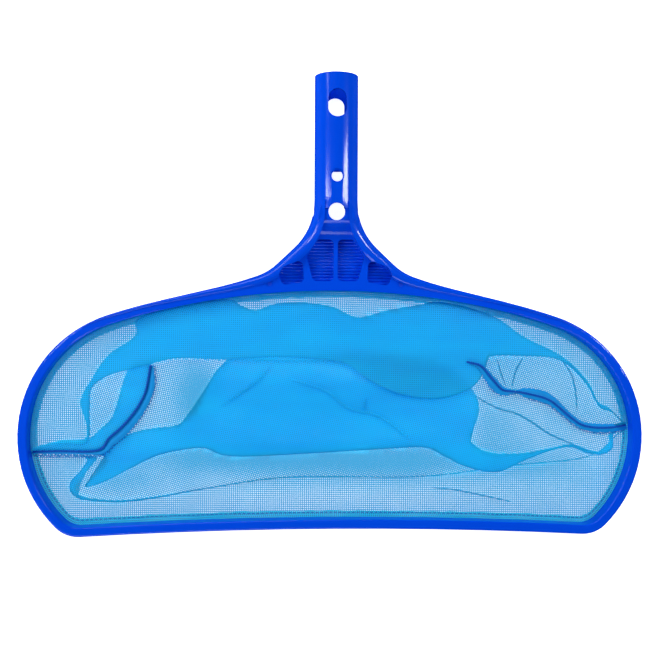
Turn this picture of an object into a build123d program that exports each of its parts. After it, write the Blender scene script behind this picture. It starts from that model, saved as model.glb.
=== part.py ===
from build123d import *
import math
import os

# Pool leaf skimmer net, lying face up.  +X right, +Y towards the handle, +Z up, millimetres.
# The origin is the middle of the footprint, on the surface that the net lies on.

# ---- Handle plug -----------------------------------------------------------------------
HANDLE_R = 15.0
BORE_R = 12.3
HANDLE_AXIS_Z = HANDLE_R
PLUG_FROM_FLARE = 86.2          # straight length of the plug above the flare
SLOT_WIDTH = 12.5
SLOT_LENGTH = 19.0
SLOT_FROM_END = 20.8            # slot centre, measured from the open end
SMALL_HOLE_R = 3.8
SMALL_HOLE_RIM_R = 4.7
SMALL_HOLE_FROM_FLARE = 15.8
LARGE_HOLE_R = 5.7
LARGE_HOLE_FROM_FLARE = -8.1
FACET_WIDTH = 7.5               # flat strip along the front between the two round holes
FACET_PAST_HOLES = 4.0
SMALL_HOLE_RIM_DEPTH = 0.6
ROOT_R = 15.4                   # below the plug the root swells to this, which stops the pole
ROOT_ABOVE_FLARE = 1.4
ROOT_BELOW_FLARE = 6.0
BORE_BELOW_FLARE = 5.0

# ---- Hoop ------------------------------------------------------------------------------
BAR_WIDTH = 6.6
HOOP_DEPTH = 14.0
BOTTOM_BAR_R = 3300.0           # the bottom bar bows gently towards the handle
BOTTOM_BAR_SWEEP = 3.03
CORNER_R = 22.0
CORNER_SWEEP = 47.7
SIDE_R = 87.8
SIDE_SWEEP = 116.7
SHOULDER_R = 420.0
SHOULDER_SWEEP = 5.23
OUTER_EDGE_ROUND = 1.8
INNER_EDGE_ROUND = 1.2

# ---- Gusset: from the shoulder up to the handle ----------------------------------------
TOP_BAR_STRAIGHT = 39.3
FLARE_LOW_R = 290.0
FLARE_LOW_SWEEP = 5.7
FLARE_MID_R = 39.4
FLARE_MID_SWEEP = 24.3
FLARE_HANDLE_R = 44.2
POCKET_FLOOR_Z = 8.6
POCKET_CORNER_R = 3.2
RIDGE_PITCH = 2.2
RIDGE_HEIGHT = 0.9
POCKET_RIDGE_START = 0.6        # first ridge, in pitches above the pocket's lower edge
WEB_TOP_Z = 26.6                # web height where it meets the handle
WEB_BOTTOM_Z = 4.0
WEB_FLAT_Y = 43.0               # the web leaves the flat plate here
WEB_SHORT_OF_FLARE = 7.0        # and reaches its full height here
WEB_END_SHORT_OF_FLARE = 4.0
WEB_UNDER_RAIL = 0.6            # share of the rail's width that the web runs under
PLATE_LOW_Y = -4.0
PLATE_SHORT_OF_FLARE = 10.0
PLATE_TAPER_LENGTH = 20.0       # the plate's back thins out towards the handle
PLATE_TAPER_HEIGHT = 11.0
BACK_WIDTH = 17.0               # open back of the handle's root
BACK_BELOW_FLARE = 20.0
BACK_ABOVE_FLARE = 23.0
BACK_CORNER_R = 3.0
WEB_THICKNESS = 3.0

# Right-hand pockets, drawn from the centre line outwards.
CENTRE_POCKET = [(1.5, 17.8), (15.6, 17.8), (20.0, 34.6), (12.3, 46.6), (1.5, 46.6)]
SIDE_POCKET = [(22.0, 17.0), (36.6, 14.9), (39.4, 22.0), (36.2, 27.4), (22.7, 32.6)]

# ---- Rails: raised edges of the gusset, running from the handle out along the hoop -------
# Sections at stations along the outside outline, measured from the handle: station, width,
# height of the outside corner, crest inset and height, height of the inside corner.
RAIL_STATIONS = [
    (0.0, 7.0, 15.0, 2.9, 24.1, 27.9),
    (8.0, 7.4, 15.0, 3.0, 24.2, 27.7),
    (18.0, 8.6, 14.4, 3.4, 22.6, 24.4),
    (36.0, 9.0, 13.0, 3.9, 19.8, 18.4),
    (52.0, 8.4, 12.6, 3.9, 17.8, 15.6),
    (68.0, 6.4, 12.6, 2.9, 16.2, 14.2),
    (97.0, 4.0, 12.8, 1.8, 15.4, 13.8),
    (137.0, 2.4, 13.0, 1.1, 15.2, 13.8),
    (175.0, 1.8, 13.0, 0.9, 14.9, 13.8),
    (193.0, 1.2, 13.4, 0.6, 14.4, 13.9),
]
RAIL_CUTS = 24                  # sections that the rail is drawn through
RAIL_INSET = 0.4                # the rail stands this far in from the wall below it
RAIL_UNDERSIDE_BOW = 0.18       # how far the rail's underside bows, as a share of its height
WEB_STATIONS = (0, 18, 36, 52, 68)

# ---- Net fixing groove on the back of the hoop -----------------------------------------
INNER_WALL = 1.4
INNER_WALL_FOOT_Z = 3.0         # the net leaves the hoop under this wall
GROOVE_WIDTH = 2.8
GROOVE_DEPTH = 7.2
CORE_OUT_WIDTH = 1.2
CORE_OUT_DEPTH = 11.6
RING_WIDTH = 1.9
RING_HEIGHT = 6.4
HEM_THICKNESS = 0.4
HEM_INSIDE = 4.2                # how far the doubled hem shows inside the hoop
LUG_R = 3.4
LUG_HEIGHT = 3.0
LUG_X = 45.5
LUG_Y_FROM_RIM = 4.3            # lug centre above the hoop's inner edge on the centre line
PIN_R = 1.5
PIN_BASE_Z = 0.2
PIN_TOP_Z = 13.5
DIMPLE_R = 2.5
DIMPLE_DEPTH = 0.5
FIT_GAP = 0.05                  # between the hem and the walls that it is pressed against
LUG_GAP = 0.2                   # round and above each lug

# ---- Net bag, collapsed inside the hoop ------------------------------------------------
NET_BASE_Z = 0.8
NET_TOP_Z = 3.4
HEM_Z = (2.0, 2.8)
BINDING_WIDTH = 4.6
BINDING_THICKNESS = 0.7
CORD_R = 0.9
STITCH_R = 0.3
STITCH_LENGTH = 2.6
STITCH_PITCH = 4.0
HEM_STITCH_LENGTH = 5.0
HEM_STITCH_PITCH = 8.0
HEM_STITCH_INSIDE = 3.0

# Where the side seams lie in the collapsed bag, from the hoop inwards.
LEFT_SEAM = [(-209.0, -101.5), (-186.0, -100.5), (-163.0, -98.0), (-148.0, -83.0), (-131.0, -61.0),
             (-127.5, -41.0)]
RIGHT_SEAM = [(209.0, -82.0), (183.0, -84.5), (160.0, -70.0), (135.0, -60.5), (112.0, -51.5),
              (93.0, -37.5)]
SEAM_BEND_R = 6.0
PAST_THE_HOOP = 240.0           # cutting shapes run out to here, clear of the hoop

# ---- Cutting tools overshoot the faces that they cut ------------------------------------
OVERSHOOT = 1.0
HIGH_ABOVE = 40.0               # above every surface of the net
HALF_GUSSET = 60.0              # wider than half the gusset


class Pen:
    """Draws lines and arcs, each leaving in the direction in which the last one ended."""

    def __init__(self, x, y, heading):
        self.x = x
        self.y = y
        self.heading = heading
        self.edges = []
        self.marks = [(x, y, heading)]

    def _move(self, x, y, heading):
        self.x = x
        self.y = y
        self.heading = heading
        self.marks.append((x, y, heading))

    def line(self, length):
        a = math.radians(self.heading)
        end = (self.x + length * math.cos(a), self.y + length * math.sin(a))
        self.edges.append(Edge.make_line((self.x, self.y), end))
        self._move(*end, self.heading)

    def _on_arc(self, radius, turn):
        side = math.copysign(1.0, turn)
        a = math.radians(self.heading)
        b = math.radians(self.heading + turn)
        x = self.x + side * radius * (math.sin(b) - math.sin(a))
        y = self.y - side * radius * (math.cos(b) - math.cos(a))
        return x, y

    def arc(self, radius, turn):
        """Positive turn bends to the left."""
        middle = self._on_arc(radius, turn / 2)
        end = self._on_arc(radius, turn)
        self.edges.append(Edge.make_three_point_arc((self.x, self.y), middle, end))
        self._move(*end, self.heading + turn)


def both_sides(pen):
    """A closed face from a half outline that starts and ends on the centre line."""
    edges = pen.edges + [e.mirror(Plane.YZ) for e in pen.edges]
    return Face(Wire(edges))


def slab(face, bottom, top):
    return extrude(Pos(0, 0, bottom) * face, amount=top - bottom, dir=(0, 0, 1))


def outer_pen(bottom_y):
    """Right half of the outside outline, from the bottom bar's middle up to the handle."""
    pen = Pen(0, bottom_y, 0)
    pen.arc(BOTTOM_BAR_R, -BOTTOM_BAR_SWEEP)
    pen.arc(CORNER_R, CORNER_SWEEP)
    pen.arc(SIDE_R, SIDE_SWEEP)
    pen.arc(SHOULDER_R, SHOULDER_SWEEP)
    pen.line(TOP_BAR_STRAIGHT)
    pen.arc(FLARE_LOW_R, -FLARE_LOW_SWEEP)
    pen.arc(FLARE_MID_R, -FLARE_MID_SWEEP)
    turn = pen.heading - 90
    into_handle = FLARE_HANDLE_R * (1 - math.cos(math.radians(turn)))
    reach = pen.x - HANDLE_R - into_handle
    pen.line(reach / -math.cos(math.radians(pen.heading)))
    pen.arc(FLARE_HANDLE_R, -turn)
    return pen


def lowest_y(bottom_y):
    """The corners hang a little lower than the middle of the bowed bottom bar."""
    pen = Pen(0, bottom_y, 0)
    pen.arc(BOTTOM_BAR_R, -BOTTOM_BAR_SWEEP)
    drop = CORNER_R * (1 - math.cos(math.radians(BOTTOM_BAR_SWEEP)))
    return pen.y - drop


FLARE_Y_AT_ZERO = outer_pen(0).y
SPAN = FLARE_Y_AT_ZERO + PLUG_FROM_FLARE - lowest_y(0)
BOTTOM_Y = -SPAN / 2 - lowest_y(0)
OUTER = outer_pen(BOTTOM_Y)
FLARE_Y = OUTER.y
END_Y = FLARE_Y + PLUG_FROM_FLARE
PLUG_START_Y = FLARE_Y + ROOT_ABOVE_FLARE


def inner_pen(grow):
    """Right half of the hoop's inner outline, grown outwards by grow."""
    inset = BAR_WIDTH - grow
    pen = Pen(0, BOTTOM_Y + inset, 0)
    pen.arc(BOTTOM_BAR_R + inset, -BOTTOM_BAR_SWEEP)
    pen.arc(CORNER_R - inset, CORNER_SWEEP)
    pen.arc(SIDE_R - inset, SIDE_SWEEP)
    pen.arc(SHOULDER_R - inset, SHOULDER_SWEEP)
    remaining = 180 - pen.heading
    pen.arc(pen.x / math.sin(math.radians(remaining)), remaining)
    return pen


def hoop_face(grow):
    return both_sides(inner_pen(grow))


RIM_Y = inner_pen(0).y
LUG_Y = RIM_Y + LUG_Y_FROM_RIM


def band(inside, outside, bottom, top):
    """A closed band that follows the hoop between two offsets from its inner edge."""
    return slab(hoop_face(outside), bottom, top) - slab(hoop_face(inside), bottom, top)


def side_view(face, half_width):
    """Stands a face drawn in Y and Z upright and thickens it to both sides."""
    upright = Plane(origin=(0, 0, 0), x_dir=(0, 1, 0), z_dir=(1, 0, 0))
    return extrude(upright * face, amount=half_width, both=True)


def below_slope(low_z, high_z, bottom):
    """Everything under the web's side view: flat, smooth rise, flat."""
    high_y = FLARE_Y - WEB_SHORT_OF_FLARE
    rise = high_z - low_z
    run = (high_y - WEB_FLAT_Y) / 2
    radius = (run**2 + (rise / 2) ** 2) / rise
    turn = math.degrees(math.asin(run / radius))
    start_y = WEB_FLAT_Y - 2 * HIGH_ABOVE
    pen = Pen(start_y, low_z, 0)
    pen.line(WEB_FLAT_Y - start_y)
    pen.arc(radius, turn)
    pen.arc(radius, -turn)
    pen.line(HIGH_ABOVE)
    end_y = pen.x
    closing = [Edge.make_line((end_y, high_z), (end_y, bottom)),
               Edge.make_line((end_y, bottom), (start_y, bottom)),
               Edge.make_line((start_y, bottom), (start_y, low_z))]
    return side_view(Face(Wire(pen.edges + closing)), HALF_GUSSET)


def rail_size(station):
    """Section sizes between two stations, in proportion."""
    for low, high in zip(RAIL_STATIONS, RAIL_STATIONS[1:]):
        if station <= high[0]:
            share = (station - low[0]) / (high[0] - low[0])
            return [p + share * (q - p) for p, q in zip(low[1:], high[1:])]
    return RAIL_STATIONS[-1][1:]


def outline_mark(station):
    """Place and direction on the outside outline, measured down from the handle."""
    path = Wire(OUTER.edges)
    along = 1 - station / path.length
    point = path @ along
    tangent = path % along
    return point.X, point.Y, math.degrees(math.atan2(tangent.Y, tangent.X))


def inward_point(mark, distance):
    x, y, heading = mark
    a = math.radians(heading)
    return x - distance * math.sin(a), y + distance * math.cos(a)


def rail_section(mark, size):
    width, side_z, crest_in, crest_z, inner_z = size
    x, y = inward_point(mark, RAIL_INSET)
    a = math.radians(mark[2])
    plane = Plane(origin=(x, y, 0), x_dir=(-math.sin(a), math.cos(a), 0),
                  z_dir=(math.cos(a), math.sin(a), 0))
    foot_z = max(RAIL_INSET, 2 * side_z - inner_z)
    top = Edge.make_three_point_arc((0, side_z), (crest_in, crest_z), (width, inner_z))
    inner = Edge.make_line((width, inner_z), (width, foot_z))
    under_z = (side_z + foot_z) / 2 - (side_z - foot_z) * RAIL_UNDERSIDE_BOW
    under = Edge.make_three_point_arc((width, foot_z), (crest_in, under_z), (0, side_z))
    return plane * Face(Wire([top, inner, under]))


def right_rail():
    end = RAIL_STATIONS[-1][0]
    stations = [end * i / (RAIL_CUTS - 1) for i in range(RAIL_CUTS)]
    return loft([rail_section(outline_mark(t), rail_size(t)) for t in stations])


def mirrored_pair(solid):
    return [solid, mirror(solid, Plane.YZ)]


def hoop_bar():
    bar = band(0, BAR_WIDTH, 0, HOOP_DEPTH)
    top = bar.faces().sort_by(Axis.Z)[-1]
    bar = fillet(top.outer_wire().edges(), OUTER_EDGE_ROUND)
    top = bar.faces().filter_by(Plane.XY).sort_by(Axis.Z)[-1]
    return fillet(top.inner_wires()[0].edges(), INNER_EDGE_ROUND)


def plate_taper():
    """Thins the plate from behind, towards the handle."""
    end_y = FLARE_Y - PLATE_SHORT_OF_FLARE + OVERSHOOT
    points = [(end_y - PLATE_TAPER_LENGTH, -OVERSHOOT), (end_y, -OVERSHOOT), (end_y, PLATE_TAPER_HEIGHT)]
    return side_view(make_face(Polyline(*points, close=True)), HALF_GUSSET)


def gusset_plate():
    """The flat part between the hoop's top edge and the rails."""
    pen = outer_pen(BOTTOM_Y)
    end_y = FLARE_Y + OVERSHOOT
    up = Edge.make_line((HANDLE_R, FLARE_Y), (HANDLE_R, end_y))
    across = Edge.make_line((HANDLE_R, end_y), (0, end_y))
    pen.edges += [up, across]
    plate = slab(both_sides(pen), 0, HOOP_DEPTH)
    plate -= slab(hoop_face(0), -OVERSHOOT, HOOP_DEPTH + OVERSHOOT)
    top_y = FLARE_Y - PLATE_SHORT_OF_FLARE
    length = top_y - PLATE_LOW_Y
    keep = Pos(0, PLATE_LOW_Y + length / 2, HOOP_DEPTH / 2) * Box(
        PAST_THE_HOOP, length, 2 * HOOP_DEPTH)
    return (plate & keep) - plate_taper()


def web():
    """Slopes from the flat plate up to the front of the handle, between the rails."""
    inset = []
    for station in WEB_STATIONS:
        under = WEB_UNDER_RAIL * rail_size(station)[0]
        inset.append(inward_point(outline_mark(station), under))
    right = [(inset[0][0], FLARE_Y - WEB_END_SHORT_OF_FLARE)] + inset[1:]
    left = [(-x, y) for x, y in right[::-1]]
    plan = make_face(Polyline(*right, *left, close=True))
    return slab(plan, WEB_BOTTOM_Z, HIGH_ABOVE) & below_slope(HOOP_DEPTH, WEB_TOP_Z, 0)


def tube(radius, start_y, end_y):
    return Pos(0, (start_y + end_y) / 2, HANDLE_AXIS_Z) * Rot(90, 0, 0) * Cylinder(
        radius, end_y - start_y)


def swelling_root():
    """From the plug's start the handle swells smoothly towards the rails."""
    end_y = FLARE_Y - ROOT_BELOW_FLARE
    length = PLUG_START_Y - end_y
    swell = ROOT_R - HANDLE_R
    radius = (length**2 + swell**2) / (2 * swell)
    pen = Pen(HANDLE_R, PLUG_START_Y, -90)
    pen.arc(radius, math.degrees(math.asin(length / radius)))
    closing = Polyline((ROOT_R, end_y), (0, end_y), (0, PLUG_START_Y), (HANDLE_R, PLUG_START_Y))
    profile = Face(Wire(pen.edges + closing.edges()))
    return Pos(0, 0, HANDLE_AXIS_Z) * revolve(profile, Axis.Y)


def through_z(radius, y, bottom, top):
    return Pos(0, y, (bottom + top) / 2) * Cylinder(radius, top - bottom)


def slot_tool():
    y = END_Y - SLOT_FROM_END
    plan = Pos(0, y) * SlotOverall(SLOT_LENGTH, SLOT_WIDTH, rotation=90)
    return slab(plan, -OVERSHOOT, 2 * HANDLE_R + OVERSHOOT)


def round_hole_cuts():
    """The two round holes, the facet between them and the small hole's sunk rim."""
    small_y = FLARE_Y + SMALL_HOLE_FROM_FLARE
    large_y = FLARE_Y + LARGE_HOLE_FROM_FLARE
    facet_z = HANDLE_AXIS_Z + math.sqrt(HANDLE_R**2 - (FACET_WIDTH / 2) ** 2)
    facet_length = small_y - large_y + 2 * FACET_PAST_HOLES
    facet = Box(FACET_WIDTH, facet_length, HANDLE_R, align=(Align.CENTER, Align.CENTER, Align.MIN))
    return [
        through_z(SMALL_HOLE_R, small_y, HANDLE_AXIS_Z, HIGH_ABOVE),
        through_z(LARGE_HOLE_R, large_y, HANDLE_AXIS_Z - BORE_R / 3, HIGH_ABOVE),
        Pos(0, (small_y + large_y) / 2, facet_z) * facet,
        through_z(SMALL_HOLE_RIM_R, small_y, facet_z - SMALL_HOLE_RIM_DEPTH, HIGH_ABOVE),
    ]


def back_cuts():
    """The handle's root is open at the back, under the sloping web."""
    low_y = FLARE_Y - BACK_BELOW_FLARE
    top_y = FLARE_Y + BACK_ABOVE_FLARE
    plan = Pos(0, (low_y + top_y) / 2) * RectangleRounded(BACK_WIDTH, top_y - low_y, BACK_CORNER_R)
    hollow = below_slope(HOOP_DEPTH - WEB_THICKNESS, WEB_TOP_Z - WEB_THICKNESS, -2 * OVERSHOOT)
    return [slab(plan, -OVERSHOOT, HIGH_ABOVE) & hollow, slab(plan, -OVERSHOOT, HANDLE_AXIS_Z)]


def handle_cuts():
    bore = tube(BORE_R, FLARE_Y - BORE_BELOW_FLARE, END_Y + OVERSHOOT)
    return [bore, slot_tool()] + round_hole_cuts() + back_cuts()


def pocket_plans():
    plans = []
    for points in (CENTRE_POCKET, SIDE_POCKET):
        plan = make_face(Polyline(*points, close=True))
        plan = fillet(plan.vertices(), POCKET_CORNER_R)
        plans += [plan, mirror(plan, Plane.YZ)]
    return plans


def ridges(plan):
    """Half-round ribs across a pocket's floor."""
    box = plan.bounding_box()
    count = int((box.max.Y - box.min.Y) / RIDGE_PITCH)
    rib = Rot(0, 90, 0) * Cylinder(RIDGE_HEIGHT, box.max.X - box.min.X + 2 * OVERSHOOT)
    middle_x = (box.max.X + box.min.X) / 2
    ribs = []
    for i in range(count):
        y = box.min.Y + (i + POCKET_RIDGE_START) * RIDGE_PITCH
        ribs.append(Pos(middle_x, y, POCKET_FLOOR_Z) * rib)
    inside = slab(plan, POCKET_FLOOR_Z - RIDGE_HEIGHT / 2, POCKET_FLOOR_Z + RIDGE_HEIGHT)
    return [r & inside for r in ribs]


def lug_places():
    return [Pos(-LUG_X, LUG_Y), Pos(LUG_X, LUG_Y)]


def groove_cuts():
    """The fixing groove and core-out on the back of the hoop, and the lugs' seats."""
    middle = INNER_WALL + GROOVE_WIDTH / 2
    cuts = [
        band(INNER_WALL, INNER_WALL + GROOVE_WIDTH, -OVERSHOOT, GROOVE_DEPTH),
        band(middle - CORE_OUT_WIDTH / 2, middle + CORE_OUT_WIDTH / 2, 0, CORE_OUT_DEPTH),
        band(-OVERSHOOT, INNER_WALL + 2 * FIT_GAP, -OVERSHOOT, INNER_WALL_FOOT_Z),
    ]
    above = HOOP_DEPTH + OVERSHOOT
    for at in lug_places():
        cuts.append(slab(at * Circle(LUG_R + LUG_GAP), -OVERSHOOT, LUG_HEIGHT + LUG_GAP))
        cuts.append(slab(at * Circle(PIN_R), 0, above))
        cuts.append(slab(at * Circle(DIMPLE_R), HOOP_DEPTH - DIMPLE_DEPTH, above))
    return cuts


def frame():
    body = hoop_bar() + gusset_plate() + web()
    body += tube(HANDLE_R, PLUG_START_Y, END_Y) + swelling_root()
    for rail in mirrored_pair(right_rail()):
        body += rail
    for tool in handle_cuts() + groove_cuts():
        body -= tool
    for plan in pocket_plans():
        body -= slab(plan, POCKET_FLOOR_Z, HIGH_ABOVE)
        for ridge in ridges(plan):
            body += ridge
    return body


def retaining_ring():
    start = INNER_WALL + FIT_GAP + HEM_THICKNESS
    ring = band(start, start + RING_WIDTH, 0, RING_HEIGHT)
    inside = slab(hoop_face(start), -OVERSHOOT, LUG_HEIGHT + OVERSHOOT)
    for at in lug_places():
        ring += slab(at * Circle(LUG_R), 0, LUG_HEIGHT) - inside
        ring -= slab(at * Circle(PIN_R), -OVERSHOOT, RING_HEIGHT + OVERSHOOT)
    return ring


def ring_pins():
    return Compound([slab(at * Circle(PIN_R), PIN_BASE_Z, PIN_TOP_Z) for at in lug_places()])


def net_hem():
    """Folded mesh: in under the hoop's inner wall, up and over the retaining ring."""
    start = INNER_WALL + FIT_GAP
    ring_start = start + HEM_THICKNESS
    ring_end = ring_start + RING_WIDTH
    top = RING_HEIGHT + HEM_THICKNESS
    low, high = HEM_Z
    hem = band(-HEM_INSIDE, ring_start, low, high)
    hem += band(start, ring_start, low, top)
    hem += band(start, ring_end + HEM_THICKNESS, RING_HEIGHT, top)
    hem += band(ring_end, ring_end + HEM_THICKNESS, LUG_HEIGHT + LUG_GAP, top)
    return hem


def seam_line():
    """Down one side seam, across the bag's folded bottom and up the other seam."""
    left = [(-PAST_THE_HOOP, LEFT_SEAM[0][1])] + LEFT_SEAM[1:]
    right = [(PAST_THE_HOOP, RIGHT_SEAM[0][1])] + RIGHT_SEAM[1:]
    return left + right[::-1]


def net_panel(edge_y):
    """The part of the collapsed bag between the seam line and edge_y."""
    line = seam_line()
    corners = [(line[-1][0], edge_y), (line[0][0], edge_y)]
    side = make_face(Polyline(*line, *corners, close=True))
    inside = slab(hoop_face(-HEM_INSIDE), NET_BASE_Z, NET_TOP_Z)
    return inside & slab(side, NET_BASE_Z - OVERSHOOT, NET_TOP_Z + OVERSHOOT)


def seam_path(points):
    return FilletPolyline(*[(x, y, NET_TOP_Z) for x, y in points], radius=SEAM_BEND_R)


def seam_sweep(path, profile):
    """Sweeps a profile whose X points to the left of the path and whose Y points up."""
    tangent = path % 0
    plane = Plane(origin=path @ 0, x_dir=(-tangent.Y, tangent.X, 0), z_dir=tangent)
    return sweep(plane * profile, path=path)


def seam_binding(points):
    profile = Pos(0, BINDING_THICKNESS / 2) * Rectangle(BINDING_WIDTH, BINDING_THICKNESS)
    return seam_sweep(seam_path(points), profile)


def seam_cord(points, side):
    profile = Pos(side * (BINDING_WIDTH / 2 + CORD_R), CORD_R) * Circle(CORD_R)
    return seam_sweep(seam_path(points), profile)


def stitch_row(path, pitch, length, base_z):
    """Short raised stitches, evenly spaced along a path."""
    stitches = []
    count = int(path.length / pitch)
    for i in range(count):
        along = (i + 0.5) / count
        point = path @ along
        tangent = path % along
        turn = math.degrees(math.atan2(tangent.Y, tangent.X))
        stitch = Box(length, 2 * STITCH_R, STITCH_R)
        stitches.append(Pos(point.X, point.Y, base_z + STITCH_R / 2) * Rot(0, 0, turn) * stitch)
    return Compound(stitches)


def seam_stitches(points):
    return stitch_row(seam_path(points), STITCH_PITCH, STITCH_LENGTH, NET_TOP_Z + BINDING_THICKNESS)


def hem_stitches():
    path = hoop_face(-HEM_STITCH_INSIDE).outer_wire()
    return stitch_row(path, HEM_STITCH_PITCH, HEM_STITCH_LENGTH, HEM_Z[1])


def write(name, shape):
    solids = shape.solids()
    print(name, "solids", len(solids), "volume", round(sum(s.volume for s in solids), 1))
    export_step(shape, os.path.join("parts", name + ".step"))


def main():
    os.makedirs("parts", exist_ok=True)
    write("frame", frame())
    write("retaining_ring", retaining_ring())
    write("ring_pins", ring_pins())
    write("net_hem", net_hem())
    write("hem_stitches", hem_stitches())
    write("net_upper_panel", net_panel(PAST_THE_HOOP))
    write("net_lower_panel", net_panel(-PAST_THE_HOOP))
    for name, points, side in (("left", LEFT_SEAM, -1), ("right", RIGHT_SEAM, 1)):
        write(name + "_seam_binding", seam_binding(points))
        write(name + "_seam_cord", seam_cord(points, side))
        write(name + "_seam_stitches", seam_stitches(points))


if __name__ == "__main__":
    main()
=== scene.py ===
import bpy
import math
from mathutils.bvhtree import BVHTree
from mathutils import Matrix, Vector, noise


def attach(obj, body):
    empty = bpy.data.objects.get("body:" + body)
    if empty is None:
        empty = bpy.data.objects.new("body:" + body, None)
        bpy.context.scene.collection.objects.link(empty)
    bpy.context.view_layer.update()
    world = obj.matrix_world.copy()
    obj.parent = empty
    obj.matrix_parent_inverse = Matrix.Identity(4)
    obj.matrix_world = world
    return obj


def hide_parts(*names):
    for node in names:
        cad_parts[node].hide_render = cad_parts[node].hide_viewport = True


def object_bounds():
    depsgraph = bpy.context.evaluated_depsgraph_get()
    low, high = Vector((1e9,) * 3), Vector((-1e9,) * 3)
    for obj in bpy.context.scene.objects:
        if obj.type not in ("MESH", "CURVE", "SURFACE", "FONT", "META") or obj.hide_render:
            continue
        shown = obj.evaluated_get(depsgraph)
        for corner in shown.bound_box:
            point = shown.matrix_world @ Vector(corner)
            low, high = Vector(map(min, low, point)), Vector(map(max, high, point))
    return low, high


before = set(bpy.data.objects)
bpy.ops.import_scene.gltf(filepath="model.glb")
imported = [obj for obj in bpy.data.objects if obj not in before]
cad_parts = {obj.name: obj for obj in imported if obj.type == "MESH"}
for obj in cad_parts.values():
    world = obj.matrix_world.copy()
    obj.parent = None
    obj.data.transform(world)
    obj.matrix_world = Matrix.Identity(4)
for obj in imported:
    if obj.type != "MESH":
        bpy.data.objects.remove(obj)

CAD_LO, CAD_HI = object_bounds()
MM = 0.001

# ---- The hoop's outline, as the CAD draws it, in millimetres -----------------------------
BAR_WIDTH = 6.6
BOTTOM_BAR_R, BOTTOM_BAR_SWEEP = 3300.0, 3.03
CORNER_R, CORNER_SWEEP = 22.0, 47.7
SIDE_R, SIDE_SWEEP = 87.8, 116.7
SHOULDER_R, SHOULDER_SWEEP = 420.0, 5.23
SIDE_FROM_X = 150               # further out than this the outline is the hoop's side
HEM_Z = 2.4                     # height at which the net leaves the hoop

# ---- The bag: how its folds lie, in millimetres, from the left seam to the right one -----
# Upper panel: from the hoop in to the deep fold, back out to the shallow one, then to the seam.
DEEP_FOLD = [(-208, -100), (-190, -95.5), (-171, -94.5), (-169.5, -72), (-168, -57), (-156, -48),
             (-145, -45), (-127, -40), (-108, -36), (-80, -37), (-37, -35), (1, -38), (12, -42),
             (24, -51), (46, -61), (74, -64), (96, -57), (106, -45), (109, -34.5), (138, -34),
             (156, -35.5), (168, -42), (180, -55), (186, -66), (190, -71), (198, -74), (205, -81)]
SHALLOW_FOLD = [(-208, -98), (-190, -93.5), (-173, -92), (-172, -82), (-176, -66), (-168, -50),
                (-157, -34), (-139, -21), (-137, -9), (-115, -2), (-76, 5), (-66, 1), (-55, -2.5),
                (-42, 2), (-21, 3), (-1, 0), (16, -7), (37, -2), (60, 2), (72, 4), (92, 1),
                (115, -7), (134, -20), (162, -34), (180, -51), (188, -66), (196, -70.5), (206, -80)]
SEAM_PLEAT = [(-208, -99), (-190, -95), (-172, -93), (-163, -86), (-155, -78), (-151, -67),
              (-148, -56), (-144, -45), (-135, -38)]
LEFT_SEAM = [(-209, -101.5), (-190, -101), (-164, -100.5), (-156, -92), (-147, -84), (-138, -73),
             (-131.5, -61), (-129, -50), (-127.5, -41)]
BAG_BOTTOM = [(-108, -37), (-60, -38.5), (-3, -39), (60, -38.5)]
RIGHT_SEAM = [(93, -38), (103, -41), (110, -49), (118, -57.5), (126, -59), (135, -60), (152, -64.5),
              (166, -75.5), (175, -82), (185, -84.5), (199, -84.5), (209, -83)]

# Lower panel: from the seam down to one fold, up to the next, and down to the hoop.
LOW_FOLD = [(-204, -103), (-180, -103), (-168, -103.5), (-160, -105), (-158, -110), (-165, -118),
            (-173, -124.5), (-171, -126), (-160, -122.5), (-148, -116.5), (-137, -110.5), (-124, -104.5),
            (-110, -101), (-92, -99), (-78, -104), (-60, -105), (-18, -103),
            (34, -100), (64, -99), (78, -105), (92, -112), (107, -116), (119, -116), (132, -110),
            (147, -104), (158, -100.5), (169, -99), (182, -103.5), (193, -104), (200, -99),
            (200, -90), (207, -86)]
HIGH_FOLD = [(-204, -102), (-180, -102), (-168, -101.5), (-158, -97.5), (-148, -91.5),
             (-138, -87.5), (-125, -85), (-112, -83.5), (-103, -79), (-95, -72), (-90, -62),
             (-87, -52), (-80, -42), (-68, -35),
             (-24, -33), (46, -33.5), (80, -42), (96, -55), (103, -68), (101, -81), (96, -91),
             (101, -98), (110, -102.5), (122, -103.5), (136, -103), (147, -101), (158, -98.8),
             (169, -97), (182, -101), (192, -102), (198, -98), (197, -90), (206, -85)]
CORNER_FOLD = [(-204, -104), (-174, -105.5), (-176, -114), (-183, -122), (-184, -128), (-180, -133),
               (-172, -135.5), (-149, -137), (-123, -134), (-90, -128), (-30, -120), (60, -120),
               (130, -112), (182, -106), (204, -90), (208, -87)]
CORNER_FOLD_BACK = [(-204, -104), (-167, -105), (-170, -111), (-176, -118.5), (-180.5, -124),
                    (-180, -129), (-173, -133.5), (-149, -135.6), (-123, -132.8), (-90, -127.2),
                    (-30, -119.4), (60, -119.4), (130, -111.4), (182, -105.4), (203, -90), (207, -86.6)]
LAYER_GAP = 0.9                 # distance over which the cloth turns at a fold
RIM_RISE = 14.0                 # and over which it rises from the hoop
UPPER_HEIGHTS = [6.6, 5.7, 4.9, 4.2, 3.7]       # of the stretches, from the hoop to the seam
LOWER_HEIGHTS = [3.2, 2.6, 2.0, 1.5, 1.0]       # and from the seam to the hoop
SEAM_Z = 3.6
FLOOR_GAP = 0.35                # the cloth stays at least this far above the floor

# The loose cloth billows: height and size of the broad waves, then of the small ones.
BILLOW_HEIGHT, BILLOW_SIZE = 0.9, 34
CREASE_HEIGHT, CREASE_SIZE = 0.22, 11

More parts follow.
